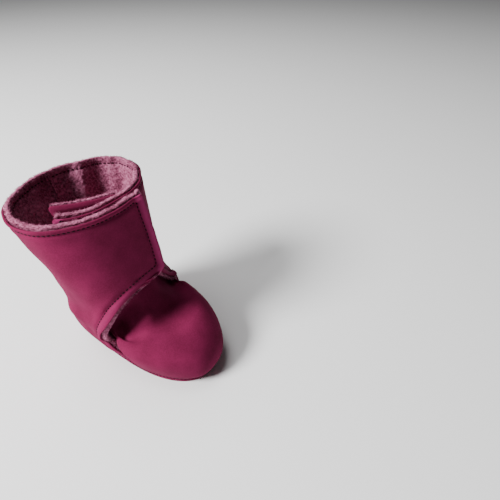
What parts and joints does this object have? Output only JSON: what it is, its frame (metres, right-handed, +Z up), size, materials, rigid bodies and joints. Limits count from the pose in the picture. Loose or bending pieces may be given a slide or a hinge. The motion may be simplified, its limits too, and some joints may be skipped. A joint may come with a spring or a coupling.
{
  "type": "baby bootie",
  "caption": "Soft wrap bootie for a baby's right foot: fleece-lined softshell with overlapping front flaps closed by touch fastener, flat soft sole.",
  "frame": {"origin": "on the underside of the sole, under the middle of the foot, between toe and heel", "axes": "+Z up from the sole, -Y towards the toe, +X towards the inner side of the right foot"},
  "size_m": [0.079, 0.1189, 0.107],
  "materials": {
    "softshell": "matt brushed berry softshell cloth",
    "fleece": "dusty pink fleece with a short pile",
    "hook_tape": "fine nylon hooks",
    "loop_tape": "brushed loops",
    "thread": "dark berry polyester thread"
  },
  "bodies": {
    "boot": {"outsole": "softshell", "insole": "fleece", "vamp_shell": "softshell", "vamp_lining": "fleece", "lateral_panel_shell": "softshell", "lateral_panel_lining": "fleece", "medial_panel_shell": "softshell", "medial_panel_lining": "fleece", "lateral_rim_stitching": "thread", "medial_rim_stitching": "thread", "heel_seam_stitching": "thread", "sole_seam_stitching": "thread"},
    "outer_flap": {"outer_flap_shell": "softshell", "outer_flap_lining": "fleece", "hook_tape": "hook_tape", "outer_flap_stitching": "thread"},
    "inner_flap": {"inner_flap_shell": "softshell", "inner_flap_lining": "fleece", "loop_tape": "loop_tape", "inner_flap_stitching": "thread"},
    "tongue": {"tongue_shell": "softshell", "tongue_lining": "fleece", "tongue_stitching": "thread"}
  },
  "joints": [
    {"name": "outer_flap_fold", "type": "hinge", "parent": "boot", "child": "outer_flap", "pos_m": [-0.0345, -0.00944, 0.03], "axis": [0.0795, -0.3607, -0.9293], "range_deg": [0, 110]},
    {"name": "inner_flap_fold", "type": "hinge", "parent": "boot", "child": "inner_flap", "pos_m": [0.0345, -0.00944, 0.03], "axis": [0.0795, 0.3607, 0.9293], "range_deg": [0, 55]},
    {"name": "tongue_bend", "type": "hinge", "parent": "boot", "child": "tongue", "pos_m": [0, -0.012, 0.0595], "axis": [-1, 0, 0], "range_deg": [0, 10]}
  ],
  "couplings": [
    {"joint": "inner_flap_fold", "follows": "outer_flap_fold", "ratio": 0.5}
  ]
}
